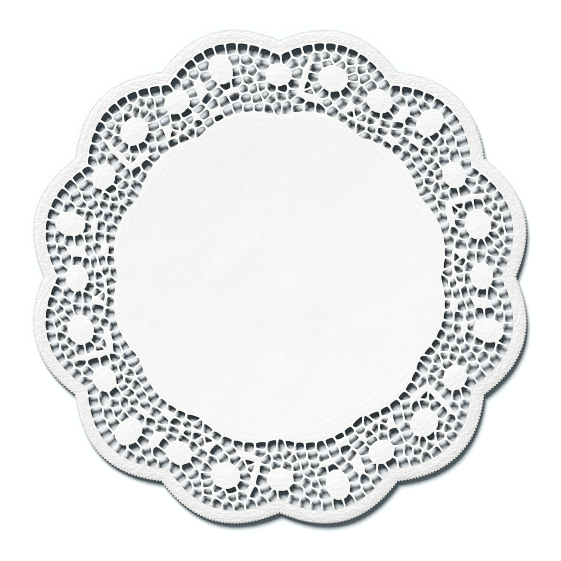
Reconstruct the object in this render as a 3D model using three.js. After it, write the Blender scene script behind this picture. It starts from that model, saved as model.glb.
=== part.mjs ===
import * as THREE from "three";

// A round paper doily lying on a table: a plain disc in the middle, a ring of net lace with
// roses and leaves, and a plain border cut in twelve round lobes. It is one sheet, in
// millimetres, with +Z up and the origin on the table under its middle. The plain disc touches
// the table, and the stiff lace round it stands a little clear, each lobe by its own amount.
// Angles are in degrees, clockwise from +Y, and the lace repeats every two lobes.

// Driving sizes
const SHEET = 1; // thickness of the solid
const LOBES = 12;
const REPEATS = 6;
const REPEAT_ANGLE = 360 / REPEATS;

// The edge of the sheet, the net's outer edge and the net's inner edge are one scalloped
// curve at three sizes: its radius between the lobes, and how much it grows in their middle.
const EDGE = { notch: 140.2, lobe: 9.8 };
const NET_OUTSIDE = { notch: 131.9, lobe: 10.0 };
const NET_INSIDE = { notch: 96.5, lobe: 4.3 };

// The lace net: a row of holes along its outside, a row along its inside, rings of holes round
// the flowers, and loose ones. A hole keeps half its bar's width clear of the line halfway to
// each of its neighbours. One whose middle is crowded, too near to an earlier one, is left out,
// and a loose one moves to the middle of its own outline when the net is relaxed.
const OUTER_ROW = { holes: 22, start: 1.7, inset: 2.7, bar: 1.25, crowded: 0, loose: 0 };
const INNER_ROW = { bar: 1.5, crowded: 0, loose: 0 };
const AT_ROSES = { bar: 1.25, crowded: 4.2, loose: 0.3 };
const BETWEEN = { bar: 1.35, crowded: 3, loose: 1 };
const RELAX_ROUNDS = 3;
const LONGEST_REACH = 5.4; // from a hole's middle to its farthest side
const SMALLEST_HOLE = 2.8; // square millimetres
const HOLES_CUT = 50; // in each repeat, the largest ones

// The uneven row along the net's inside: where each middle is, and how far from the net's edge
const INNER_HOLES = [
  { angle: 2.2, inset: 3.4 },
  { angle: 6.2, inset: 2.1 },
  { angle: 10.2, inset: 2.1 },
  { angle: 13.8, inset: 2.6 },
  { angle: 17.2, inset: 3.4 },
  { angle: 21.9, inset: 2.6 },
  { angle: 24.9, inset: 1.8 },
  { angle: 28.4, inset: 3.8 },
  { angle: 31.8, inset: 1.6 },
  { angle: 35.6, inset: 2.2 },
  { angle: 39.1, inset: 1.5 },
  { angle: 42.8, inset: 2.4 },
  { angle: 46.0, inset: 3.4 },
  { angle: 49.4, inset: 2.0 },
  { angle: 53.1, inset: 1.9 },
  { angle: 56.1, inset: 1.9 },
  { angle: 59.2, inset: 3.8 },
];

// Solid flowers in the net, each with a ring of holes round it: where the middle is, its width
// across and its height along the radius, how many holes, where the first one is, and how far
// their middles are from its edge
const ROSES = [
  { angle: 15.1, radius: 122.4, width: 17.2, height: 14.9, holes: 11, start: -37, gap: 3.0 },
  { angle: 29.6, radius: 120.6, width: 15.4, height: 13.1, holes: 9, start: 55, gap: 3.0 },
  { angle: 44.2, radius: 128.6, width: 13.7, height: 17.2, holes: 9, start: 70, gap: 2.9 },
  { angle: 59.7, radius: 120.6, width: 15.4, height: 13.1, holes: 9, start: 50, gap: 3.0 },
];

// Solid buds, stems and leaves, turned clockwise by their tilt
const LEAVES = [
  { angle: 37.2, radius: 121.8, width: 6.5, height: 11.3, tilt: 0 },
  { angle: 7.2, radius: 120.6, width: 3.9, height: 16.6, tilt: 5 },
  { angle: 9.8, radius: 108.4, width: 15.4, height: 4.6, tilt: 8 },
  { angle: 45.3, radius: 114.2, width: 10.4, height: 3.8, tilt: -6 },
  { angle: 39.0, radius: 105.4, width: 8.3, height: 5.0, tilt: 0 },
  { angle: 22.6, radius: 109.6, width: 4.8, height: 6.5, tilt: 35 },
  { angle: 32.6, radius: 107.5, width: 4.2, height: 4.2, tilt: 0 },
  { angle: 26.0, radius: 103.7, width: 13.0, height: 1.6, tilt: 4 },
  { angle: 13.6, radius: 134.8, width: 3.0, height: 2.4, tilt: 0 },
];

// Rows of loose holes between the flowers, bowed outwards in their middle
const LOOSE_ROWS = [
  { from: [6.8, 129.8], to: [23.4, 128.3], bow: 4.8, holes: 6 },
  { from: [50.6, 128.6], to: [50.8, 117.8], bow: 0, holes: 3 },
  { from: [49.6, 114.3], to: [55.9, 108.9], bow: 1.2, holes: 3 },
  { from: [34.3, 110.5], to: [57.7, 106.3], bow: 1.2, holes: 7 },
  { from: [31.3, 103.7], to: [35.1, 106.1], bow: 0, holes: 2 },
  { from: [19.6, 109.9], to: [30.3, 108.1], bow: -1.2, holes: 5 },
  { from: [37.9, 114.2], to: [41.6, 115.4], bow: 0, holes: 2 },
  { from: [0.0, 107.9], to: [5.8, 105.7], bow: 1.2, holes: 3 },
  { from: [8.8, 114.6], to: [9.4, 111.9], bow: 0, holes: 2 },
  { from: [37.2, 131.7], to: [37.2, 131.7], bow: 0, holes: 1 },
  { from: [23.2, 106.0], to: [23.2, 106.0], bow: 0, holes: 1 },
];

// How the sheet lies: flat on the table inside the rest circle, then like a very shallow dish
const REST_RADIUS = 40;
const DISH_BEND = 0.15; // how gently the dish starts, as a share of its width
const LACE_LIFT = 2.8; // height over the table at the net's inner edge
const BORDER_LIFT = 0.5; // how much higher the border is
const LOBE_LIFTS = [0.6, -0.2, 0.1, 0.3, 0.1, 0.2, -0.1, -0.3, -0.4, -0.8, 0.1, 0.5];
const DROOP = 0.5; // the border's edge turns down
const DROOP_WIDTH = 8;
const ROSE_CROWN = 0.6; // embossed height of a flower's middle

// How finely the solid is divided
const EDGE_STEPS = 14; // for one lobe
const DISC_STEPS = 48;
const DISC_RINGS = [REST_RADIUS, 48, 60, 77, 93];
const CROWN_STEPS = 8;
const CROWN_SHARE = 0.6; // of the flower's size

const PAPER = { color: 0xf8f7f4, roughness: 0.9, metalness: 0 };

const SAME_PLACE = 0.001; // points nearer than this are one
const ROUNDING = 1e-6; // of sums of angles and areas

const radians = THREE.MathUtils.degToRad;
const smooth = (x) => THREE.MathUtils.smoothstep(x, 0, 1);

// A point at an angle and a radius from the middle
function polar(angle, radius) {
  return new THREE.Vector2(radius * Math.sin(radians(angle)), radius * Math.cos(radians(angle)));
}

function turned(point, angle) {
  return point.clone().rotateAround(new THREE.Vector2(), -radians(angle));
}

function angleOf(point) {
  return THREE.MathUtils.radToDeg(Math.atan2(point.x, point.y));
}

function scallop(curve, angle) {
  return curve.notch + curve.lobe * Math.abs(Math.sin(radians(angle * LOBES / 2)));
}

// The same thing in this repeat and in the one on either side
function besideToo(thing, turnThing) {
  return [-REPEAT_ANGLE, 0, REPEAT_ANGLE].map((angle) => turnThing(thing, angle));
}

// Where the holes' middles start
function startHoles() {
  const holes = [];
  const add = (middle, kind) => {
    const taken = holes.flatMap((hole) => besideToo(hole.middle, turned));
    if (taken.every((other) => other.distanceTo(middle) >= kind.crowded)) {
      holes.push({ middle, kind });
    }
  };
  for (let i = 0; i < OUTER_ROW.holes; i++) {
    const angle = OUTER_ROW.start + (i * REPEAT_ANGLE) / OUTER_ROW.holes;
    add(polar(angle, scallop(NET_OUTSIDE, angle) - OUTER_ROW.inset), OUTER_ROW);
  }
  for (const { angle, inset } of INNER_HOLES) {
    add(polar(angle, scallop(NET_INSIDE, angle) + inset), INNER_ROW);
  }
  for (const rose of ROSES) {
    for (let i = 0; i < rose.holes; i++) {
      const around = rose.start + (i * 360) / rose.holes;
      const offset = polar(around, 1);
      offset.x *= rose.width / 2 + rose.gap;
      offset.y *= rose.height / 2 + rose.gap;
      const middle = turned(offset, rose.angle).add(polar(rose.angle, rose.radius));
      add(middle, AT_ROSES);
    }
  }
  for (const row of LOOSE_ROWS) {
    for (let i = 0; i < row.holes; i++) {
      const share = row.holes > 1 ? i / (row.holes - 1) : 0;
      const angle = THREE.MathUtils.lerp(row.from[0], row.to[0], share);
      const radius = THREE.MathUtils.lerp(row.from[1], row.to[1], share);
      add(polar(angle, radius + row.bow * 4 * share * (1 - share)), BETWEEN);
    }
  }
  return holes;
}

// The part of a convex outline whose reach along the normal is at most the given one
function clipped(outline, normal, reach) {
  const kept = [];
  outline.forEach((point, i) => {
    const next = outline[(i + 1) % outline.length];
    const over = point.dot(normal) - reach;
    const nextOver = next.dot(normal) - reach;
    if (over <= 0) {
      kept.push(point);
    }
    if (over * nextOver < 0) {
      kept.push(point.clone().lerp(next, over / (over - nextOver)));
    }
  });
  return kept;
}

// Every solid motif as an ellipse with a middle, two half sizes and a direction
function motifEllipses() {
  const ellipse = (motif, angle) => ({
    middle: polar(motif.angle + angle, motif.radius),
    half: new THREE.Vector2(motif.width / 2, motif.height / 2),
    direction: motif.angle + angle + (motif.tilt ?? 0),
  });
  return [...ROSES, ...LEAVES].flatMap((motif) => besideToo(motif, ellipse));
}

// Cuts the outline of a hole back to the line that touches the ellipse on the hole's side
function clippedByEllipse(outline, middle, ellipse) {
  const local = turned(middle.clone().sub(ellipse.middle), -ellipse.direction).divide(ellipse.half);
  if (local.length() <= 1) {
    return [];
  }
  const away = turned(local.normalize().divide(ellipse.half), ellipse.direction);
  return clipped(outline, away.clone().negate(), -1 - away.dot(ellipse.middle));
}

// Cuts it to one side of a scalloped curve: side 1 keeps what is inside, -1 what is outside
function clippedByCurve(outline, middle, curve, side) {
  const step = 0.4;
  const angle = angleOf(middle);
  const before = polar(angle - step, scallop(curve, angle - step));
  const after = polar(angle + step, scallop(curve, angle + step));
  const along = after.sub(before).normalize();
  const normal = new THREE.Vector2(-along.y, along.x).multiplyScalar(side);
  return clipped(outline, normal, normal.dot(polar(angle, scallop(curve, angle))));
}

// A hole is what lies nearer to its middle than to any other, less half a bar, off the motifs
function holeOutline({ middle, kind }, others, ellipses) {
  const reach = LONGEST_REACH;
  let outline = [[-reach, -reach], [reach, -reach], [reach, reach], [-reach, reach]]
    .map(([x, y]) => new THREE.Vector2(x, y).add(middle));
  for (const other of others) {
    const gap = other.distanceTo(middle);
    if (gap > SAME_PLACE && gap < 4 * reach) {
      const normal = other.clone().sub(middle).normalize();
      const halfway = middle.clone().lerp(other, 0.5);
      outline = clipped(outline, normal, normal.dot(halfway) - kind.bar / 2);
    }
  }
  for (const ellipse of ellipses) {
    outline = clippedByEllipse(outline, middle, ellipse);
  }
  outline = clippedByCurve(outline, middle, NET_OUTSIDE, 1);
  return clippedByCurve(outline, middle, NET_INSIDE, -1);
}

function centroid(outline) {
  const sum = new THREE.Vector2();
  let total = 0;
  outline.forEach((point, i) => {
    const next = outline[(i + 1) % outline.length];
    const cross = point.cross(next);
    sum.add(point.clone().add(next).multiplyScalar(cross / 3));
    total += cross;
  });
  return sum.divideScalar(total);
}

function laceRepeat() {
  const ellipses = motifEllipses();
  let holes = startHoles();
  for (let round = 0; round < RELAX_ROUNDS; round++) {
    const others = holes.flatMap((hole) => besideToo(hole.middle, turned));
    holes = holes.map((hole) => {
      const outline = holeOutline(hole, others, ellipses);
      const goal = outline.length > 2 ? centroid(outline) : hole.middle;
      return { ...hole, middle: hole.middle.clone().lerp(goal, hole.kind.loose) };
    });
  }
  const others = holes.flatMap((hole) => besideToo(hole.middle, turned));
  const area = (outline) => Math.abs(THREE.ShapeUtils.area(outline));
  return holes
    .map((hole) => holeOutline(hole, others, ellipses))
    .filter((outline) => outline.length > 2 && area(outline) > SMALLEST_HOLE)
    .sort((a, b) => area(b) - area(a))
    .slice(0, HOLES_CUT);
}

// The dish's height as a share of the height at the net's inner edge
function dish(radius) {
  const bent = (x) => Math.hypot(Math.max(x, 0), DISH_BEND) - DISH_BEND;
  return bent((radius - REST_RADIUS) / (NET_INSIDE.notch - REST_RADIUS)) / bent(1);
}

// Height of the underside over the table
function lift(point) {
  const radius = point.length();
  const angle = (angleOf(point) + 360) % 360;
  const place = angle / (360 / LOBES) - 0.5 + LOBES;
  const lobe = Math.floor(place);
  const blend = smooth(place - lobe);
  const lobeLift = THREE.MathUtils.lerp(LOBE_LIFTS[lobe % LOBES], LOBE_LIFTS[(lobe + 1) % LOBES], blend);
  const outwards = smooth((radius - REST_RADIUS) / (EDGE.notch - REST_RADIUS));
  const droop = smooth((radius - scallop(EDGE, angle) + DROOP_WIDTH) / DROOP_WIDTH);
  const dished = LACE_LIFT * dish(Math.min(radius, NET_INSIDE.notch));
  return dished + (BORDER_LIFT + lobeLift) * outwards - DROOP * droop;
}

// A closed loop of points at equal angles, clockwise
function loop(steps, pointAt) {
  return Array.from({ length: steps }, (_, i) => pointAt((i * 360) / steps));
}

function discLoop(radius) {
  return loop(DISC_STEPS, (angle) => polar(angle, radius));
}

function crownLoop(rose, turn) {
  const middle = polar(rose.angle + turn, rose.radius);
  return loop(CROWN_STEPS, (angle) => {
    const offset = polar(angle, CROWN_SHARE / 2);
    offset.x *= rose.width;
    offset.y *= rose.height;
    return turned(offset, rose.angle + turn).add(middle);
  });
}

// Swaps the shared edge of two triangles wherever that makes both of them rounder
function makeRounder(points, triangles) {
  const cornerAngle = (corner, a, b) => {
    const toA = points[a].clone().sub(points[corner]);
    const toB = points[b].clone().sub(points[corner]);
    return Math.acos(THREE.MathUtils.clamp(toA.dot(toB) / (toA.length() * toB.length()), -1, 1));
  };
  const side = (a, b, c) => points[b].clone().sub(points[a]).cross(points[c].clone().sub(points[a]));
  let swaps = 1;
  while (swaps > 0) {
    swaps = 0;
    const owners = new Map();
    const touched = new Set();
    for (let t = 0; t < triangles.length; t++) {
      for (let k = 0; k < 3; k++) {
        const [a, b, c] = [0, 1, 2].map((n) => triangles[t][(k + n) % 3]);
        const twin = owners.get(`${b} ${a}`);
        owners.set(`${a} ${b}`, { triangle: t, far: c });
        if (!twin || touched.has(t) || touched.has(twin.triangle)) {
          continue;
        }
        const convex = side(c, a, twin.far) > ROUNDING && side(twin.far, b, c) > ROUNDING;
        if (convex && cornerAngle(c, a, b) + cornerAngle(twin.far, a, b) > Math.PI + ROUNDING) {
          triangles[t] = [c, a, twin.far];
          triangles[twin.triangle] = [twin.far, b, c];
          touched.add(t).add(twin.triangle);
          swaps += 1;
          break;
        }
      }
    }
  }
}

// One closed sheet: the same triangles below and above, and walls along every cut edge
function doilyGeometry() {
  const points = [];
  const heights = [];
  const triangles = [];
  const addPoint = (point, extra = 0) => {
    heights.push(lift(point) + extra);
    return points.push(point) - 1;
  };
  const addLoop = (outline, extra) => outline.map((point) => addPoint(point, extra));
  const addTriangle = (a, b, c) => {
    const facesUp = THREE.ShapeUtils.area([points[a], points[b], points[c]]) > 0;
    triangles.push(facesUp ? [a, b, c] : [a, c, b]);
  };
  const ringOf = (ids) => ids.map((id, i) => [id, ids[(i + 1) % ids.length]]);

  const cuts = laceRepeat();
  const turns = Array.from({ length: REPEATS }, (_, i) => i * REPEAT_ANGLE);
  const holeLoops = turns.flatMap((turn) => cuts.map((cut) => cut.map((point) => turned(point, turn))));
  const crowns = turns.flatMap((turn) => ROSES.map((rose) => crownLoop(rose, turn)));
  const edge = loop(EDGE_STEPS * LOBES, (angle) => polar(angle, scallop(EDGE, angle)));

  const edgeIds = addLoop(edge);
  const holeIds = holeLoops.map((outline) => addLoop(outline));
  const crownIds = crowns.map((outline) => addLoop(outline, ROSE_CROWN));
  const discIds = DISC_RINGS.map((radius) => addLoop(discLoop(radius)));
  const outerDisc = discIds[discIds.length - 1];

  // The lace ring and the border, between the outermost disc ring and the edge
  const inner = [...holeIds, ...crownIds, outerDisc];
  const order = [...edgeIds, ...inner.flat()];
  const shape = (ids) => ids.map((id) => points[id]);
  for (const face of THREE.ShapeUtils.triangulateShape(shape(edgeIds), inner.map(shape))) {
    addTriangle(...face.map((i) => order[i]));
  }
  makeRounder(points, triangles);

  // The plain disc: bands between its rings, and one flat middle
  for (let ring = 1; ring < discIds.length; ring++) {
    const [inside, outside] = [discIds[ring - 1], discIds[ring]];
    ringOf(outside).forEach(([a, b], i) => {
      const next = (i + 1) % DISC_STEPS;
      addTriangle(inside[i], a, b);
      addTriangle(inside[i], b, inside[next]);
    });
  }
  for (const face of THREE.ShapeUtils.triangulateShape(shape(discIds[0]), [])) {
    addTriangle(...face.map((i) => discIds[0][i]));
  }
  crownIds.forEach((ids, i) => {
    const { angle, radius } = ROSES[i % ROSES.length];
    const middle = addPoint(polar(angle + turns[Math.floor(i / ROSES.length)], radius), ROSE_CROWN);
    ringOf(ids).forEach(([a, b]) => addTriangle(middle, a, b));
  });

  // Walls run with the paper on their left
  const withPaperLeft = (ids, inside) => {
    const counterClockwise = THREE.ShapeUtils.area(shape(ids)) > 0;
    return counterClockwise === inside ? ids : [...ids].reverse();
  };
  const walls = [withPaperLeft(edgeIds, true), ...holeIds.map((ids) => withPaperLeft(ids, false))];

  const count = points.length;
  const position = new Float32Array(count * 6);
  points.forEach((point, i) => {
    position.set([point.x, point.y, heights[i]], i * 3);
    position.set([point.x, point.y, heights[i] + SHEET], (count + i) * 3);
  });
  const index = [];
  triangles.forEach(([a, b, c]) => index.push(a, c, b, count + a, count + b, count + c));
  walls.flatMap(ringOf).forEach(([a, b]) => index.push(a, b, count + b, a, count + b, count + a));
  const geometry = new THREE.BufferGeometry();
  geometry.setAttribute("position", new THREE.BufferAttribute(position, 3));
  geometry.setIndex(index);
  geometry.computeVertexNormals();
  return geometry;
}

const doily = new THREE.Mesh(doilyGeometry(), new THREE.MeshStandardMaterial(PAPER));
doily.name = "doily";

const part = new THREE.Group();
part.add(doily);

export default part;
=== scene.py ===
"""The looks of the paper doily: one thin sheet of white paper on a pale floor.

The sheet has a plain disc in its middle, a ring of net lace with embossed flowers and leaves,
and a pebbled border in twelve lobes with a pinked edge. It is designed flat, in millimetres,
where a point is a complex number with the real part along +X and the imaginary part along +Y.
Angles are in degrees, clockwise from +Y. The mesh is made in metres, in the frame's own space.
"""

import math
from collections import namedtuple

import bpy
import numpy as np
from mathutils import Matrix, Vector
from mathutils.geometry import delaunay_2d_cdt


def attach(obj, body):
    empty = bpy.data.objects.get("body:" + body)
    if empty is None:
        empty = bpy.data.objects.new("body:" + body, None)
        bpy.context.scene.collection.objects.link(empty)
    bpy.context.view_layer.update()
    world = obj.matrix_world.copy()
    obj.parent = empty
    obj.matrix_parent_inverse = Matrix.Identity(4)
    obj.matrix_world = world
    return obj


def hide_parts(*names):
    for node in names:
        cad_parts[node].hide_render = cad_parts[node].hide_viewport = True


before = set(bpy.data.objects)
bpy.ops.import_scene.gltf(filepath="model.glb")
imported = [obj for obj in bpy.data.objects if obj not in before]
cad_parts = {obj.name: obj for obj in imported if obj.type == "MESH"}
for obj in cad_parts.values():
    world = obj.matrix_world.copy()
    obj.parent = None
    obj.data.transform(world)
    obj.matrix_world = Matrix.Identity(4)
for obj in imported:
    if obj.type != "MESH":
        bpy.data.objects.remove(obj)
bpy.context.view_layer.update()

MM = 0.001  # in metres
CM = 10  # in millimetres

Range = namedtuple("Range", "start end")

# Scalloped curves: the radius between the lobes and how much it grows in them
Curve = namedtuple("Curve", "notch lobe")
LOBES = 12
REPEATS = 6
REPEAT_ANGLE = 360 / REPEATS
EDGE = Curve(140.2, 9.8)
NET_OUTSIDE = Curve(131.9, 10.8)
NET_INSIDE = Curve(96.5, 4.3)

# The net's holes in one repeat: an even row along its outside, and the others charted
Outer = namedtuple("Outer", "holes start inset")
OUTER_ROW = Outer(holes=22, start=1.7, inset=2.7)
BAR = 1.3  # the width of the paper between two holes
LONGEST_REACH = 5.4  # from a hole's middle to its farthest side
SMALLEST_HOLE = 2.0  # square millimetres
CORNER_REACH = 1.6  # of the longest reach, past a hole's farthest corner
NEIGHBOURS_WITHIN = 4  # of the longest reach, for what may cut a hole short
ROSES_WITHIN = 3  # of the longest reach, for the flowers that a hole's edge follows
CURVE_SPAN = 0.4  # degrees to either side, that give a curve's direction
SAME_PLACE = 0.001  # points nearer than this are one

Hole = namedtuple("Hole", "angle radius")
ALONG_THE_INSIDE = [
    Hole(2.3, 101.0), Hole(6.2, 100.7), Hole(10.1, 102.4), Hole(13.8, 103.0), Hole(17.6, 103.6),
    Hole(22.0, 102.2), Hole(25.0, 100.2), Hole(28.6, 102.3), Hole(31.9, 98.8), Hole(35.6, 101.0),
    Hole(39.2, 101.3), Hole(42.7, 103.2), Hole(46.1, 104.1), Hole(49.5, 102.2), Hole(53.2, 101.4),
    Hole(56.1, 100.0), Hole(59.4, 101.6),
]
ROUND_ROSES = [
    Hole(12.7, 130.0), Hole(16.4, 131.8), Hole(19.1, 130.6), Hole(20.4, 126.8), Hole(20.9, 121.9),
    Hole(19.8, 117.2), Hole(17.0, 113.3), Hole(13.6, 112.2), Hole(11.2, 114.8), Hole(9.6, 120.7),
    Hole(9.9, 126.0), Hole(25.4, 125.8), Hole(24.0, 120.4), Hole(24.0, 115.2), Hole(26.7, 112.9),
    Hole(30.4, 112.2), Hole(33.9, 115.2), Hole(34.6, 121.0), Hole(34.7, 127.2), Hole(40.1, 133.6),
    Hole(39.6, 126.9), Hole(40.3, 121.1), Hole(44.2, 119.1), Hole(47.8, 118.8), Hole(47.9, 124.8),
    Hole(48.2, 131.4), Hole(55.2, 126.8), Hole(54.7, 119.8), Hole(57.3, 112.9), Hole(1.1, 112.2),
    Hole(4.1, 114.8), Hole(4.8, 121.8), Hole(3.7, 127.3),
]
BETWEEN_ROSES = [
    Hole(6.7, 129.6), Hole(9.7, 133.0), Hole(11.8, 134.6), Hole(14.8, 134.7), Hole(18.2, 134.7),
    Hole(21.7, 132.4), Hole(23.2, 128.7), Hole(8.0, 114.9), Hole(9.0, 111.7), Hole(19.8, 110.0),
    Hole(3.9, 109.8), Hole(0.4, 107.8), Hole(6.2, 106.0), Hole(15.1, 107.3), Hole(23.4, 106.2),
    Hole(25.4, 108.7), Hole(27.5, 106.6), Hole(30.4, 107.9), Hole(37.0, 131.2), Hole(51.1, 129.6),
    Hole(50.1, 125.8), Hole(52.4, 123.7), Hole(50.9, 118.3), Hole(37.9, 114.8), Hole(41.6, 115.6),
    Hole(34.5, 110.6), Hole(39.2, 110.3), Hole(42.3, 109.6), Hole(46.1, 111.3), Hole(49.4, 114.4),
    Hole(52.3, 113.0), Hole(54.7, 113.4), Hole(49.4, 108.3), Hole(53.0, 107.2), Hole(55.6, 109.2),
    Hole(57.5, 106.1), Hole(35.2, 106.1), Hole(31.9, 103.6),
]

Rose = namedtuple("Rose", "angle radius width height")
ROSES = [
    Rose(15.1, 122.4, 17.2, 14.9),
    Rose(29.6, 120.6, 15.4, 13.1),
    Rose(44.2, 128.6, 13.7, 17.2),
    Rose(59.7, 120.6, 15.4, 13.1),
]

Leaf = namedtuple("Leaf", "angle radius width height tilt")
LEAVES = [
    Leaf(37.2, 121.8, 6.5, 11.3, tilt=0),
    Leaf(7.2, 120.6, 3.9, 16.6, tilt=5),
    Leaf(9.8, 108.4, 15.4, 4.6, tilt=8),
    Leaf(45.3, 114.2, 10.4, 3.8, tilt=-6),
    Leaf(39.0, 105.4, 8.3, 5.0, tilt=0),
    Leaf(22.6, 109.6, 4.8, 6.5, tilt=35),
    Leaf(32.6, 107.5, 4.2, 4.2, tilt=0),
    Leaf(26.0, 103.7, 13.0, 1.6, tilt=4),
    Leaf(13.3, 134.8, 1.6, 3.2, tilt=0),
    Leaf(16.5, 135.0, 2.6, 2.4, tilt=0),
]

# The lace sits a little off the middle of the cut edge, and is a little smaller than planned and
# turned by a trace, which its complex size gives in one
LACE_SHIFT = -0.15 - 0.3j
LACE_SIZE = 0.9963 - 0.0009j

# How the sheet lies: as in the part, but its edge droops less
REST_RADIUS = 40
DISH_BEND = 0.15
LACE_LIFT = 2.8
BORDER_LIFT = 0.5
LOBE_LIFTS = [0.6, -0.2, 0.1, 0.3, 0.1, 0.2, -0.1, -0.3, -0.4, -0.8, 0.1, 0.5]
DROOP = 0.3
DROOP_WIDTH = 5

# Soft ridges of the plain disc: from where to where, and their height and width
Ridge = namedtuple("Ridge", "start end height width")
RIDGES = [
    Ridge(-5 + 33j, -42 - 11j, height=0.6, width=5),
    Ridge(33 + 36j, 47 + 2j, height=0.5, width=6),
    Ridge(9 + 12j, 17 - 70j, height=0.8, width=9),
    Ridge(-62 + 30j, -20 + 52j, height=0.3, width=7),
    Ridge(30 - 20j, 62 - 40j, height=0.4, width=7),
]

# Faint pressed lines round the plain disc, near the net
LINES_FROM = 79
LINES_PITCH = 3.6
LINES_DEPTH = 0.012

# From the sheet's underside to its face
PAPER = 1.3

# How a hole is cut
CORNER = 0.75  # where the rounding of a corner starts, from the corner
CORNER_SHARE = 0.4  # of a side that one corner's rounding may take
BOW = 0.035  # of a side's length, outwards
PETAL_BULGE = 0.06  # of the flower's size, where its petals stand into the holes
LONGEST_PUSH = 1.5  # points that would move farther, as a share, are left in place
MERGED = 0.6  # corners nearer than this are one

# The pinked edge
TOOTH_PITCH = 1.9
TOOTH_DEPTH = 0.8
TOOTH_RISE = 0.3  # of the teeth's tips, past the scalloped curve
TOOTH_POINTS = 6
EDGE_SAMPLES = 1200  # for one lobe, to measure the run along the edge

# The embossing: heights in millimetres, and places as shares of a motif's or a ring's size
ROSE_CROWN = 0.6
CROWN_SHARE = 0.95
ROSE_FADE = Range(0.95, 1.075)
PETAL_STEP = 0.22
PETAL_CUP = 0.24
PETAL_TURN = 0.2
PETAL_NOTCH = 0.13
PETAL_RIM = 6  # how steeply a petal's rim rises
PETAL_FADE = Range(2 / 3, 1)
PetalRing = namedtuple("PetalRing", "radius petals start")
PETAL_RINGS = [
    PetalRing(1.04, 7, 12),
    PetalRing(0.76, 6, 40),
    PetalRing(0.50, 5, 5),
    PetalRing(0.27, 3, 60),
]
LEAF_CROWN = 0.25
LEAF_FADE = Range(0.84, 1.04)
RIB_DEPTH = 0.1
RIB_WIDTH = 0.45
VEIN_DEPTH = 0.05
VEIN_PITCH = 1.6
VEIN_SLANT = 0.8
MOTIF_REACH = 1.2  # of a motif's longer half, past its relief
EDGE_FALL = 0.16  # how far the paper turns down at a cut edge
EDGE_FALL_WIDTH = 0.9

# How finely the sheet is divided, in millimetres between points
CUT_STEP = 1.0
CUT_TOLERANCE = 1e-6
INSIDE_ONLY = 1  # the triangles that are asked for: those inside the sheet's outline
ROSE_STEP = 0.6
LEAF_STEP = 0.68
BAR_STEP = 0.9
NET_STEP = 1.0
BORDER_STEP = 1.6
FIELD_EDGE = 84
FIELD_EDGE_STEP = 2.4
FIELD_STEP = 4.6
ROOM = 0.62  # of the step, kept clear round a point
BAR_ROOM = 0.6  # of that room, along the middle of a bar
CUT_ROOM = 0.05  # between two points of a cut
CUT_MARGIN = 0.3  # between a cut and the nearest other point
LEAF_REACH = 1.1  # of a leaf's size, for its finer points
OVERLAP = 0.01  # of the radius, where two kinds of points meet
CELL = 2.0  # of the grid that finds near points
SHARP_ANGLE = 50

# The paper's grain: depths in millimetres, and how many to a metre
COCKLE_DEPTH = 0.45
COCKLE_SCALE = 33
COCKLE_DETAIL = 1
FIBRE_DEPTH = 0.065
FIBRE_SCALE = 900
FIBRE_DETAIL = 3
FIBRE_ROUGHNESS = 0.6
MOTTLE_SCALE = 420
MOTTLE_RANGE = Range(0.3, 0.7)

# The border's grain, in the map that follows the edge: turns in radians, and how many to a centimetre
GRAIN_DEPTH = 0.2
GRAIN_SCALE = (4.2, 6.2, 1)
GRAIN_TURN = 0.7
GRAIN_RANDOMNESS = 0.8
PEBBLE_DEPTH = 0.08
PEBBLE_SCALE = (9.5, 9.5, 1)
PEBBLE_TURN = 0.2
PEBBLE_RANDOMNESS = 0.5
SHADED_HOLLOWS = Range(0.05, 0.16)  # depths between which the border's hollows get painted shade

# Centimetres from the edge: where the border's grain starts, where the painted shade along the cut edge
# starts, and where the normals turn upright, by so many times their upward part
BORDER_FADE = Range(0.86, 0.74)
EDGE_SHADE_FADE = Range(0.1, 0.05)
UPRIGHT_FADE = Range(0.2, 0.5)
UPRIGHT = Range(1, 3)

# The paper's colours and gloss, with painted shade for the border's hollows and for the cut edge
PAPER_DARK = (0.81, 0.81, 0.804, 1)
PAPER_LIGHT = (0.843, 0.843, 0.835, 1)
BORDER_PAINTED_SHADE = (0.773, 0.769, 0.755, 1)
EDGE_PAINTED_SHADE = (0.667, 0.667, 0.657, 1)
ROUGHNESS = Range(0.82, 0.95)
GLOSS = 0.3

# The floor, in millimetres
FLOOR_BESIDE = (0.9, 0.955, 0.98)
# Painted shade: the floor under the lace is a darker cool grey, so that the holes look shaded
FLOOR_PAINTED_SHADE = (0.778, 0.843, 0.88)
FLOOR_ROUGHNESS = 0.9
FLOOR_MARGIN = 4  # from the net to where the painted shade under the lace ends
FLOOR_LEVEL = -0.05  # just under the sheet's flat middle
FLOOR_NEAR = 400
FLOOR_FAR = 5000
FLOOR_STEPS = 144

# Camera and light, in millimetres and degrees
PHOTO_WIDTH = 333.3  # how much the photograph shows, at the height of the lace
CAMERA_AT = (0.56, -2.34)
CAMERA_HEIGHT = 1600
CAMERA_REACH = 100_000
SENSOR = 36
SUN_AZIMUTH = 335
SUN_ELEVATION = 45
SUN_WIDTH = 24
SUN_STRENGTH = 4.44
SUN_COLOUR = (1.0, 0.968, 0.952)
SKY = (0.119, 0.149, 0.164)
FILTER_WIDTH = 1.0
PRINT_GAMMA = 2.2
SHARPENING = 0.018


def smooth(x):
    x = np.clip(x, 0, 1)
    return x * x * (3 - 2 * x)


def fading(x, fade):
    """1 up to the start of the range, and 0 past its end."""
    return 1 - smooth((x - fade.start) / (fade.end - fade.start))


def polar(angle, radius):
    return radius * np.exp(1j * np.radians(90 - angle))


def turned(point, angle):
    """The point turned clockwise about the middle."""
    return point * np.exp(-1j * np.radians(angle))


def angle_of(point):
    return (90 - np.degrees(np.angle(point))) % 360


def scallop(curve, angle):
    return curve.notch + curve.lobe * np.abs(np.sin(np.radians(angle * LOBES / 2)))


def along(vector, direction):
    return (vector * np.conj(direction)).real


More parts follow.
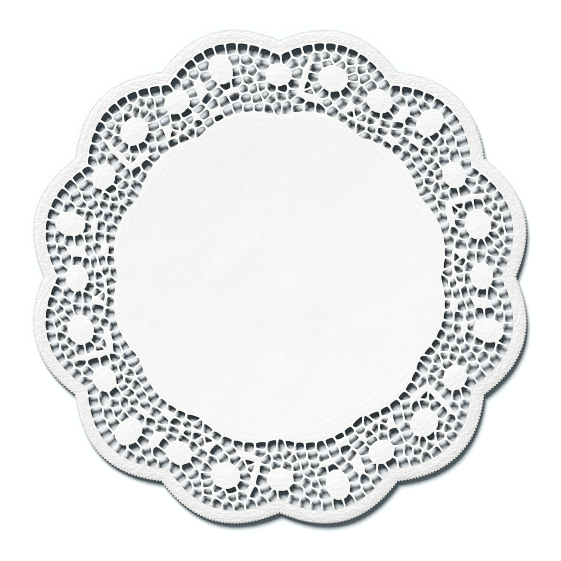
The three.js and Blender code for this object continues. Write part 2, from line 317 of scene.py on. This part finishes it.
def area_of(outline):
    line = np.array(outline)
    return abs((np.conj(line) * np.roll(line, -1)).imag.sum()) / 2


# The net


def beside_too(points):
    """The same points in this repeat and in the ones on either side."""
    return [turned(p, a) for p in points for a in (-REPEAT_ANGLE, 0, REPEAT_ANGLE)]


def hole_middles():
    """The middle of each hole of one repeat."""
    angles = OUTER_ROW.start + np.arange(OUTER_ROW.holes) * REPEAT_ANGLE / OUTER_ROW.holes
    outer = polar(angles, scallop(NET_OUTSIDE, angles) - OUTER_ROW.inset)
    charted = [*ALONG_THE_INSIDE, *ROUND_ROSES, *BETWEEN_ROSES]
    return [*outer, *(polar(hole.angle, hole.radius) for hole in charted)]


Motif = namedtuple("Motif", "middle half direction shape")


def motifs(turns):
    """Every solid flower and leaf as an ellipse, once for each turn."""
    return [
        Motif(
            polar(shape.angle + turn, shape.radius),
            complex(shape.width / 2, shape.height / 2),
            shape.angle + turn + getattr(shape, "tilt", 0),
            shape,
        )
        for shape in [*ROSES, *LEAVES]
        for turn in turns
    ]


def inside_motif(points, motif):
    """The points in the motif's own space, where its outline is the unit circle."""
    local = turned(points - motif.middle, -motif.direction)
    return local.real / motif.half.real + 1j * (local.imag / motif.half.imag)


def clipped(outline, normal, reach):
    """The part of a convex outline whose reach along the normal is at most the given one."""
    kept = []
    for point, following in zip(outline, outline[1:] + outline[:1]):
        over = along(point, normal) - reach
        next_over = along(following, normal) - reach
        if over <= 0:
            kept.append(point)
        if over * next_over < 0:
            kept.append(point + (following - point) * over / (over - next_over))
    return kept


def clipped_by_motif(outline, middle, motif):
    local = inside_motif(middle, motif)
    if abs(local) <= 1:
        return []
    local /= abs(local)
    away = turned(complex(local.real / motif.half.real, local.imag / motif.half.imag), motif.direction)
    return clipped(outline, -away, -1 - along(motif.middle, away))


def clipped_by_curve(outline, middle, curve, side):
    """Side 1 keeps what is inside the scalloped curve, and -1 what is outside it."""
    angle = angle_of(middle)
    before, after = (polar(a, scallop(curve, a)) for a in (angle - CURVE_SPAN, angle + CURVE_SPAN))
    normal = 1j * (after - before) / abs(after - before) * side
    return clipped(outline, normal, along(polar(angle, scallop(curve, angle)), normal))


def hole_outline(middle, bar, others, solids):
    """What lies nearer to this middle than to any other, less half a bar, off the motifs."""
    reach = LONGEST_REACH
    outline = [middle + complex(x, y) * reach for x, y in ((-1, -1), (1, -1), (1, 1), (-1, 1))]
    for other in others:
        gap = abs(other - middle)
        if SAME_PLACE < gap < NEIGHBOURS_WITHIN * reach:
            normal = (other - middle) / gap
            outline = clipped(outline, normal, along((other + middle) / 2, normal) - bar / 2)
    for motif in solids:
        if abs(motif.middle - middle) < NEIGHBOURS_WITHIN * reach:
            outline = clipped_by_motif(outline, middle, motif)
    outline = clipped_by_curve(outline, middle, NET_OUTSIDE, 1)
    return clipped_by_curve(outline, middle, NET_INSIDE, -1)


def lace_repeat():
    """One repeat's holes as convex outlines, and the middle lines of the bars between them."""
    solids = motifs((-REPEAT_ANGLE, 0, REPEAT_ANGLE))
    middles = hole_middles()
    others = beside_too(middles)
    outlines = [hole_outline(middle, BAR, others, solids) for middle in middles]
    outlines = [o for o in outlines if len(o) > 2 and area_of(o) > SMALLEST_HOLE]
    middle_lines = [hole_outline(middle, 0, others, solids) for middle in middles]
    return outlines, [line for line in middle_lines if len(line) > 2]


# The cuts


def merged_corners(outline):
    """The outline with corners that are very near each other made one."""
    line = list(outline)
    while len(line) > 3:
        gaps = [abs(line[i] - line[i - 1]) for i in range(len(line))]
        nearest = int(np.argmin(gaps))
        if gaps[nearest] > MERGED:
            break
        line[nearest] = (line[nearest] + line[nearest - 1]) / 2
        del line[nearest - 1]
    return line


def petal_edge(local):
    """How far a flower's outline is from its middle, in its own space, at the points' angles."""
    ring = PETAL_RINGS[0]
    waves = np.abs(np.cos(ring.petals * (np.angle(local) - math.radians(ring.start)) / 2))
    return 1 + PETAL_BULGE * waves


def cut_line(outline, roses):
    """A hole's outline with bowed sides and round corners, kept off the flowers' petals."""
    line = merged_corners(outline)
    sides = [abs(line[i] - line[i - 1]) for i in range(len(line))]
    points = []
    for i, corner in enumerate(line):
        following = line[(i + 1) % len(line)]
        before = line[i - 1]
        length = sides[(i + 1) % len(line)]
        start = corner + (following - corner) * min(CORNER / length, CORNER_SHARE)
        end = corner + (before - corner) * min(CORNER / sides[i], CORNER_SHARE)
        next_end = following + (corner - following) * min(CORNER / length, CORNER_SHARE)
        points += [end, (end + 2 * corner + start) / 4]
        steps = max(1, round(abs(next_end - start) / CUT_STEP))
        outwards = -1j * (following - corner)
        for step in range(steps):
            share = step / steps
            bow = BOW * 4 * share * (1 - share)
            points.append(start + (next_end - start) * share + outwards * bow)
    points = np.array(points)
    for rose in roses:
        local = inside_motif(points, rose)
        push = np.maximum(petal_edge(local) / np.abs(local), 1)
        points = rose.middle + (points - rose.middle) * np.where(push < LONGEST_PUSH, push, 1)
    return points


def pinked_edge():
    """The sheet's outer edge: small round teeth with sharp notches between, of one pitch."""
    angles = np.linspace(0, 360, LOBES * EDGE_SAMPLES + 1)
    line = polar(angles, scallop(EDGE, angles))
    run = np.concatenate([[0], np.cumsum(np.abs(np.diff(line)))])
    teeth = LOBES * round(run[-1] / TOOTH_PITCH / LOBES)
    count = np.arange(teeth * TOOTH_POINTS)
    at = np.interp(count / TOOTH_POINTS * run[-1] / teeth, run, angles)
    depth = TOOTH_DEPTH * (1 - np.abs(np.sin(np.pi * count / TOOTH_POINTS)))
    return polar(at, scallop(EDGE, at) + TOOTH_RISE - depth), angles, run


# The points of the flat sheet


class Scatter:
    """Points that keep clear of each other."""

    def __init__(self):
        self.points = []
        self.cells = {}

    def add(self, point, room):
        column, row = int(point.real // CELL), int(point.imag // CELL)
        for i in (column - 1, column, column + 1):
            for j in (row - 1, row, row + 1):
                for other in self.cells.get((i, j), ()):
                    if abs(other - point) < room:
                        return
        self.cells.setdefault((column, row), []).append(point)
        self.points.append(point)


def hexagonal(step):
    """A grid of equal triangles over the whole sheet."""
    size = EDGE.notch + EDGE.lobe
    rows = np.arange(-size, size, step * math.sqrt(3) / 2)
    columns = np.arange(-size, size, step)
    x, y = np.meshgrid(columns, rows)
    x[::2] += step / 2
    return (x + 1j * y).ravel()


def off_the_holes(points, outlines, margin):
    """The points that lie outside every hole, with a margin."""
    keep = np.ones(len(points), bool)
    for outline in outlines:
        line = np.array(outline)
        near = np.flatnonzero(np.abs(points - line.mean()) < LONGEST_REACH * CORNER_REACH)
        inside = np.ones(len(near), bool)
        for corner, following in zip(line, np.roll(line, -1)):
            outwards = -1j * (following - corner) / abs(following - corner)
            inside &= along(points[near] - corner, outwards) < margin
        keep[near[inside]] = False
    return points[keep]


def counter_clockwise(outline):
    line = np.array(outline)
    return outline if (np.conj(line) * np.roll(line, -1)).imag.sum() > 0 else outline[::-1]


def in_any(points, ellipses, size):
    inside = np.zeros(len(points), bool)
    for motif in ellipses:
        inside |= np.abs(inside_motif(points, motif)) < size
    return inside


def fill_points(scatter, outlines, middle_lines, roses, leaves):
    """Adds the points between the cuts, the finest ones first."""
    in_bars = []
    for line in middle_lines:
        for corner, following in zip(line, line[1:] + line[:1]):
            steps = max(1, round(abs(following - corner) / BAR_STEP))
            in_bars += [corner + (following - corner) * step / steps for step in range(steps)]
    for point in off_the_holes(np.array(in_bars), outlines, CUT_MARGIN):
        scatter.add(point, ROOM * BAR_ROOM)

    def fill(step, wanted):
        points = hexagonal(step)
        points = points[wanted(points)]
        for point in off_the_holes(points, outlines, CUT_MARGIN):
            scatter.add(point, min(ROOM * step, CELL))

    def share(points, curve):
        return np.abs(points) / scallop(curve, angle_of(points))

    fill(ROSE_STEP, lambda p: in_any(p, roses, 1))
    fill(LEAF_STEP, lambda p: in_any(p, leaves, LEAF_REACH))
    fill(NET_STEP, lambda p: (share(p, NET_OUTSIDE) < 1 + OVERLAP) & (share(p, NET_INSIDE) > 1 - OVERLAP))
    fill(BORDER_STEP, lambda p: (share(p, NET_OUTSIDE) > 1) & (share(p, EDGE) < 1 - OVERLAP))
    fill(FIELD_EDGE_STEP, lambda p: (share(p, NET_INSIDE) < 1) & (np.abs(p) > FIELD_EDGE))
    fill(FIELD_STEP, lambda p: np.abs(p) < FIELD_EDGE)


def triangles_of(points, loops):
    """Triangles between the cuts, as rows of three point numbers."""
    edges = [(a, b) for loop in loops for a, b in zip(loop, np.roll(loop, -1))]
    found_points, _, found_triangles, sources, _, _ = delaunay_2d_cdt(
        [Vector((p.real, p.imag)) for p in points],
        [(int(a), int(b)) for a, b in edges],
        [],
        INSIDE_ONLY,
        CUT_TOLERANCE,
    )
    if len(found_points) != len(points):
        raise ValueError("two cuts of the lace cross each other")
    original = np.array([numbers[0] for numbers in sources])
    triangles = original[np.array(found_triangles)]

    # Only a triangle with all its corners on the cut of one hole can lie in that hole
    owner = np.full(len(points), -1)
    for number, loop in enumerate(loops[1:]):
        owner[loop] = number
    whole = owner[triangles]
    same = (whole[:, 0] >= 0) & (whole[:, 0] == whole[:, 1]) & (whole[:, 0] == whole[:, 2])
    middles = points[triangles].mean(axis=1)
    in_hole = np.zeros(len(triangles), bool)
    for number in np.flatnonzero(same):
        line = points[loops[1 + whole[number, 0]]] - middles[number]
        in_hole[number] = abs(np.angle(np.roll(line, -1) / line).sum()) > math.pi
    triangles = triangles[~in_hole]

    a, b, c = points[triangles].T
    flipped = (np.conj(b - a) * (c - a)).imag < 0
    triangles[flipped] = triangles[flipped][:, ::-1]
    return triangles


# Heights


def lift(points):
    """Height of the part's underside over the floor."""
    radius = np.abs(points)
    angle = angle_of(points)
    place = angle / (360 / LOBES) - 0.5 + LOBES
    lobe = np.floor(place).astype(int)
    lifts = np.array(LOBE_LIFTS)
    here, following = lifts[lobe % LOBES], lifts[(lobe + 1) % LOBES]
    lobe_lift = here + (following - here) * smooth(place - lobe)

    def bent(x):
        return np.hypot(np.maximum(x, 0), DISH_BEND) - DISH_BEND

    dish_width = NET_INSIDE.notch - REST_RADIUS
    dish = bent((np.minimum(radius, NET_INSIDE.notch) - REST_RADIUS) / dish_width) / bent(1)
    outwards = smooth((radius - REST_RADIUS) / (EDGE.notch - REST_RADIUS))
    droop = smooth((radius - scallop(EDGE, angle) + DROOP_WIDTH) / DROOP_WIDTH)
    raised = LACE_LIFT * dish + (BORDER_LIFT + lobe_lift) * outwards
    return raised - DROOP * droop + ridges(points)


def ridges(points):
    """Height of the plain disc's soft ridges, which fade out at their ends."""
    height = np.zeros(len(points))
    for ridge in RIDGES:
        length = abs(ridge.end - ridge.start)
        local = (points - ridge.start) * np.conj((ridge.end - ridge.start) / length)
        share = np.clip(local.real / length, 0, 1)
        height += ridge.height * np.exp(-((local.imag / ridge.width) ** 2)) * np.sin(np.pi * share)
    return height


def rose_relief(local):
    """A rose of rings of overlapping petals, by the place in the flower's own space."""
    out = np.abs(local)
    height = ROSE_CROWN * (1 - smooth(out * CROWN_SHARE))
    next_edges = [ring.radius for ring in PETAL_RINGS[1:]] + [0.0]
    for ring, next_edge in zip(PETAL_RINGS, next_edges):
        turn = ring.petals * (np.angle(local) - math.radians(ring.start)) / (2 * math.pi)
        edge = ring.radius * (1 - PETAL_NOTCH * (1 - np.abs(np.cos(math.pi * turn))))
        inwards = (edge - out) / (ring.radius - next_edge)
        within = smooth(inwards * PETAL_RIM + 0.5)
        height += PETAL_STEP * within - PETAL_CUP * smooth(inwards) * within
        own = within * fading(inwards, PETAL_FADE)
        height += PETAL_TURN * (turn + 0.5 - np.floor(turn + 0.5) - 0.5) * own
    return height * fading(out, ROSE_FADE)


def leaf_relief(local, half):
    """A leaf or bud with a rib along it and veins on either side."""
    lengthwise, across = local.real * half.real, local.imag * half.imag
    if half.imag > half.real:
        lengthwise, across = across, lengthwise
    out = np.abs(local)
    rib = np.exp(-((across / RIB_WIDTH) ** 2))
    veins = np.cos((lengthwise - VEIN_SLANT * np.abs(across)) * 2 * math.pi / VEIN_PITCH)
    height = LEAF_CROWN * (1 - out**2) - RIB_DEPTH * rib + VEIN_DEPTH * veins * (1 - rib)
    return height * fading(out, LEAF_FADE)


def embossing(points, roses, leaves, clearance):
    """Height of the relief, where clearance is the distance to the nearest cut edge."""
    height = EDGE_FALL * (smooth(clearance / EDGE_FALL_WIDTH) - 1)
    for motif in roses + leaves:
        reach = MOTIF_REACH * max(motif.half.real, motif.half.imag)
        near = np.flatnonzero(np.abs(points - motif.middle) < reach)
        local = inside_motif(points[near], motif)
        if motif in roses:
            height[near] += rose_relief(local)
        else:
            height[near] += leaf_relief(local, motif.half)
    return height


def clearance_of(points, cut_points):
    """Distance from each point to the nearest point of a cut edge, or a cell where that is farther."""
    reach = np.full(len(points), CELL)
    cells = {}
    for point in cut_points:
        cells.setdefault((int(point.real // CELL), int(point.imag // CELL)), []).append(point)
    cells = {place: np.array(members) for place, members in cells.items()}
    for number, point in enumerate(points):
        column, row = int(point.real // CELL), int(point.imag // CELL)
        for i in (column - 1, column, column + 1):
            for j in (row - 1, row, row + 1):
                members = cells.get((i, j))
                if members is not None:
                    reach[number] = min(reach[number], np.abs(members - point).min())
    return reach


# The mesh


def sheet_mesh(points, triangles, loops, low, edge_angles, edge_run):
    """A closed sheet: the same triangles above and below, and a wall along every cut."""
    count = len(points)
    flat = np.stack([points.real, points.imag], axis=1)
    lower = np.column_stack([flat, low])
    upper = np.column_stack([flat, low + PAPER])
    walls = []
    for loop in loops:
        following = np.roll(loop, -1)
        walls.append(np.column_stack([loop, following, following + count]))
        walls.append(np.column_stack([loop, following + count, loop + count]))
    faces = np.concatenate([triangles[:, ::-1], triangles + count, *walls])

    mesh = bpy.data.meshes.new("doily_paper")
    mesh.from_pydata(np.concatenate([lower, upper]) * MM, [], faces)
    mesh.validate()

    # A map that follows the edge, in centimetres: the run along it, and the distance inwards
    around = angle_of(points)
    run = np.interp(around, edge_angles, edge_run)
    inwards = scallop(EDGE, around) - np.abs(points)
    corners = np.zeros(len(mesh.loops), int)
    mesh.loops.foreach_get("vertex_index", corners)
    corner_run = run[corners % count].reshape(-1, 3)
    wraps = corner_run.max(axis=1) - corner_run.min(axis=1) > edge_run[-1] / 2
    corner_run[wraps] += np.where(corner_run[wraps] < edge_run[-1] / 2, edge_run[-1], 0)
    place = np.column_stack([corner_run.ravel(), inwards[corners % count]]) / CM
    mesh.uv_layers.new(name="along_edge").data.foreach_set("uv", place.ravel())
    mesh.polygons.foreach_set("use_smooth", np.ones(len(mesh.polygons), bool))
    mesh.set_sharp_from_angle(angle=math.radians(SHARP_ANGLE))
    mesh.update()
    return mesh


def placed(point, turn):
    """Where a point of the planned lace is on the sheet."""
    return turned(point, turn) * LACE_SIZE + LACE_SHIFT


def build_sheet():
    """The whole sheet as one object, from the plan of one repeat."""
    turns = [i * REPEAT_ANGLE for i in range(REPEATS)]
    outlines, middle_lines = lace_repeat()
    outlines = [[placed(p, turn) for p in counter_clockwise(o)] for turn in turns for o in outlines]
    middle_lines = [[placed(p, turn) for p in line] for turn in turns for line in middle_lines]
    solids = [motif._replace(middle=placed(motif.middle, 0)) for motif in motifs(turns)]
    roses = [m for m in solids if m.shape in ROSES]
    leaves = [m for m in solids if m.shape in LEAVES]

    edge, edge_angles, edge_run = pinked_edge()
    cuts = [edge[::-1]]
    for outline in outlines:
        near = [rose for rose in roses if abs(rose.middle - outline[0]) < ROSES_WITHIN * LONGEST_REACH]
        cuts.append(cut_line(outline, near))
    scatter = Scatter()
    loops = []
    for cut in cuts:
        start = len(scatter.points)
        for point in cut:
            scatter.add(point, CUT_ROOM)
        loops.append(np.arange(start, len(scatter.points)))
    fill_points(scatter, outlines, middle_lines, roses, leaves)
    points = np.array(scatter.points)
    cut_points = points[: loops[-1][-1] + 1]
    triangles = triangles_of(points, loops)

    clearance = clearance_of(points, cut_points)
    low = lift(points) + embossing(points, roses, leaves, clearance)
    low = np.maximum(low, 0)

    # The walls face outwards: round the sheet they run one way, and round the holes the other
    walls = [loops[0]] + [loop[::-1] for loop in loops[1:]]
    mesh = sheet_mesh(points, triangles, walls, low, edge_angles, edge_run)
    print("doily points", len(points), "triangles", len(mesh.polygons))
    doily = bpy.data.objects.new("doily_paper", mesh)
    bpy.context.scene.collection.objects.link(doily)
    return doily


# Materials


class Nodes:
    """A short way to add nodes to a material and join them."""

    def __init__(self, name):
        self.material = bpy.data.materials.new(name)
        self.material.use_nodes = True
        self.tree = self.material.node_tree
        self.shader = self.tree.nodes["Principled BSDF"]

    def add(self, kind, inputs=(), **settings):
        node = self.tree.nodes.new("ShaderNode" + kind)
        for name, value in settings.items():
            setattr(node, name, value)
        for name, value in dict(inputs).items():
            if isinstance(value, bpy.types.NodeSocket):
                self.tree.links.new(value, node.inputs[name])
            else:
                node.inputs[name].default_value = value
        return node

    def scaled(self, value, scale, plus=0.0):
        return self.add("Math", {0: value, 1: scale, 2: plus}, operation="MULTIPLY_ADD").outputs[0]

    def times(self, value, other):
        return self.add("Math", {0: value, 1: other}, operation="MULTIPLY").outputs[0]

    def ranged(self, value, source, target=Range(0, 1)):
        """The value, taken from one range to another and kept inside it."""
        return self.add("MapRange", {
            "Value": value,
            "From Min": source.start,
            "From Max": source.end,
            "To Min": target.start,
            "To Max": target.end,
        }).outputs[0]

    def noise(self, place, scale, detail, roughness=0.5):
        inputs = {"Vector": place, "Scale": scale, "Detail": detail, "Roughness": roughness}
        return self.add("TexNoise", inputs).outputs[0]

    def cells(self, place, scale, turn, randomness):
        """Distance to the middle of the nearest of many small cells."""
        place = self.add("Mapping", {"Vector": place, "Scale": scale, "Rotation": (0, 0, turn)}).outputs[0]
        texture = self.add("TexVoronoi", {"Vector": place, "Scale": 1, "Randomness": randomness})
        return texture.outputs["Distance"]

    def mixed(self, share, colour, other):
        return self.add("MixRGB", {"Fac": share, "Color1": colour, "Color2": other}).outputs[0]

    def finish(self, **sockets):
        for name, value in sockets.items():
            socket = self.shader.inputs[name.replace("_", " ")]
            if isinstance(value, bpy.types.NodeSocket):
                self.tree.links.new(value, socket)
            else:
                socket.default_value = value
        return self.material


def paper_material():
    """White embossed tissue paper, with a border of oblique grains and fine pebbles, and painted shade in
    the border's hollows and along the cut edge.
    """
    nodes = Nodes("doily_paper")
    place = nodes.add("TexCoord").outputs["Object"]
    cockle = nodes.noise(place, COCKLE_SCALE, COCKLE_DETAIL)
    fibres = nodes.noise(place, FIBRE_SCALE, FIBRE_DETAIL, FIBRE_ROUGHNESS)
    mottle = nodes.noise(place, MOTTLE_SCALE, FIBRE_DETAIL, FIBRE_ROUGHNESS)

    edge_place = nodes.add("UVMap", uv_map="along_edge").outputs["UV"]
    inwards = nodes.add("SeparateXYZ", {"Vector": edge_place}).outputs["Y"]
    border = nodes.ranged(inwards, BORDER_FADE)
    grains = nodes.cells(edge_place, GRAIN_SCALE, GRAIN_TURN, GRAIN_RANDOMNESS)
    pebbles = nodes.cells(edge_place, PEBBLE_SCALE, PEBBLE_TURN, PEBBLE_RANDOMNESS)
    grain = nodes.scaled(grains, GRAIN_DEPTH, nodes.scaled(pebbles, PEBBLE_DEPTH))

    radius = nodes.add("VectorMath", {0: place}, operation="LENGTH").outputs["Value"]
    radius = nodes.scaled(radius, 1 / MM)
    phase = nodes.scaled(radius, 2 * math.pi / LINES_PITCH)
    waves = nodes.add("Math", {0: phase}, operation="SINE").outputs[0]
    near_net = nodes.ranged(radius, Range(LINES_FROM, NET_INSIDE.notch))
    lines = nodes.times(nodes.times(waves, near_net), LINES_DEPTH)

    height = nodes.scaled(nodes.times(grain, border), -1, lines)
    height = nodes.scaled(fibres, FIBRE_DEPTH, height)
    height = nodes.scaled(cockle, COCKLE_DEPTH, height)

    # The broad rise of the sheet shades little, and the edge that turns down shades in full
    rise = nodes.ranged(inwards, UPRIGHT_FADE, UPRIGHT)
    stretch = nodes.add("CombineXYZ", {"X": 1, "Y": 1, "Z": rise}).outputs[0]
    normal = nodes.add("NewGeometry").outputs["Normal"]
    upright = nodes.add("VectorMath", {0: normal, 1: stretch}, operation="MULTIPLY").outputs[0]
    upright = nodes.add("VectorMath", {0: upright}, operation="NORMALIZE").outputs[0]
    bump = nodes.add("Bump", {"Height": height, "Strength": 1, "Distance": MM, "Normal": upright})

    paper = nodes.mixed(nodes.ranged(mottle, MOTTLE_RANGE), PAPER_DARK, PAPER_LIGHT)
    # Painted shade: the deeper hollows of the border's grain are darkened in its colour
    paper = nodes.mixed(nodes.times(nodes.ranged(grain, SHADED_HOLLOWS), border), paper, BORDER_PAINTED_SHADE)
    # Painted shade: the paper within a millimetre of the cut edge is darkened in its colour
    paper = nodes.mixed(nodes.ranged(inwards, EDGE_SHADE_FADE), paper, EDGE_PAINTED_SHADE)
    return nodes.finish(
        Base_Color=paper,
        Roughness=nodes.ranged(fibres, Range(0, 1), ROUGHNESS),
        Normal=bump.outputs[0],
        Specular_IOR_Level=GLOSS,
    )


def matt_material(name, colour):
    colour = (*colour, 1)
    return Nodes(name).finish(Base_Color=colour, Roughness=FLOOR_ROUGHNESS, Specular_IOR_Level=0)


# The stage


def add_floor():
    """A round floor, nearly white beside the sheet, with painted shade under the lace: a cool grey where
    it is seen through the holes.
    """
    angles = np.arange(0, 360, 360 / FLOOR_STEPS)
    under = polar(angles, scallop(NET_OUTSIDE, angles) + FLOOR_MARGIN)
    rings = np.concatenate([under, polar(angles, FLOOR_NEAR), polar(angles, FLOOR_FAR)]) * MM
    faces = [tuple(range(FLOOR_STEPS))[::-1]]
    for start in (0, FLOOR_STEPS):
        for i in range(FLOOR_STEPS):
            a, b = start + i, start + (i + 1) % FLOOR_STEPS
            faces.append((b, a, a + FLOOR_STEPS, b + FLOOR_STEPS))
    mesh = bpy.data.meshes.new("floor")
    mesh.from_pydata([(p.real, p.imag, FLOOR_LEVEL * MM) for p in rings], [], faces)
    mesh.materials.append(matt_material("floor", FLOOR_BESIDE))
    mesh.materials.append(matt_material("floor_painted_shade", FLOOR_PAINTED_SHADE))
    # The floor's middle, under the lace, gets the painted shade
    mesh.polygons[0].material_index = 1
    floor = bpy.data.objects.new("floor", mesh)
    bpy.context.scene.collection.objects.link(floor)
    return floor


def add_camera():
    """Straight above the sheet, a little off its middle, as in the photograph."""
    data = bpy.data.cameras.new("camera")
    data.sensor_width = SENSOR
    data.lens = SENSOR * CAMERA_HEIGHT / PHOTO_WIDTH
    data.clip_end = CAMERA_REACH * MM
    camera = bpy.data.objects.new("camera", data)
    x, y = CAMERA_AT
    camera.location = (x * MM, y * MM, (CAMERA_HEIGHT + LACE_LIFT) * MM)
    bpy.context.scene.collection.objects.link(camera)
    bpy.context.scene.camera = camera


def add_light():
    """One broad soft light from the upper left, and a dim cool sky."""
    data = bpy.data.lights.new("key", "SUN")
    data.energy = SUN_STRENGTH
    data.color = SUN_COLOUR
    data.angle = math.radians(SUN_WIDTH)
    light = bpy.data.objects.new("key", data)
    aside = polar(SUN_AZIMUTH, math.cos(math.radians(SUN_ELEVATION)))
    towards = Vector((aside.real, aside.imag, math.sin(math.radians(SUN_ELEVATION))))
    light.rotation_mode = "QUATERNION"
    light.rotation_quaternion = towards.to_track_quat("Z", "Y")
    bpy.context.scene.collection.objects.link(light)
    world = bpy.data.worlds.new("sky")
    world.use_nodes = True
    world.node_tree.nodes["Background"].inputs["Color"].default_value = (*SKY, 1)
    bpy.context.scene.world = world


def set_film():
    """A plain film, printed crisply: the picture is sharpened a little, as the photograph is."""
    scene = bpy.context.scene
    scene.view_settings.view_transform = "Standard"
    scene.cycles.diffuse_bounces = 0  # so that the holes are as dark as in the photograph
    scene.cycles.filter_width = FILTER_WIDTH
    scene.use_nodes = True
    tree = scene.node_tree
    to_print = tree.nodes.new("CompositorNodeGamma")
    to_print.inputs["Gamma"].default_value = 1 / PRINT_GAMMA
    sharpen = tree.nodes.new("CompositorNodeFilter")
    sharpen.filter_type = "SHARPEN"
    sharpen.inputs["Fac"].default_value = SHARPENING
    to_light = tree.nodes.new("CompositorNodeGamma")
    to_light.inputs["Gamma"].default_value = PRINT_GAMMA
    picture = tree.nodes["Render Layers"].outputs["Image"]
    for node in (to_print, sharpen, to_light, tree.nodes["Composite"]):
        tree.links.new(picture, node.inputs["Image"])
        picture = node.outputs["Image"] if node.outputs else None


add_camera()
add_light()
set_film()
floor = add_floor()

doily = build_sheet()
doily.data.materials.append(paper_material())
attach(doily, "root")
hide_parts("doily")
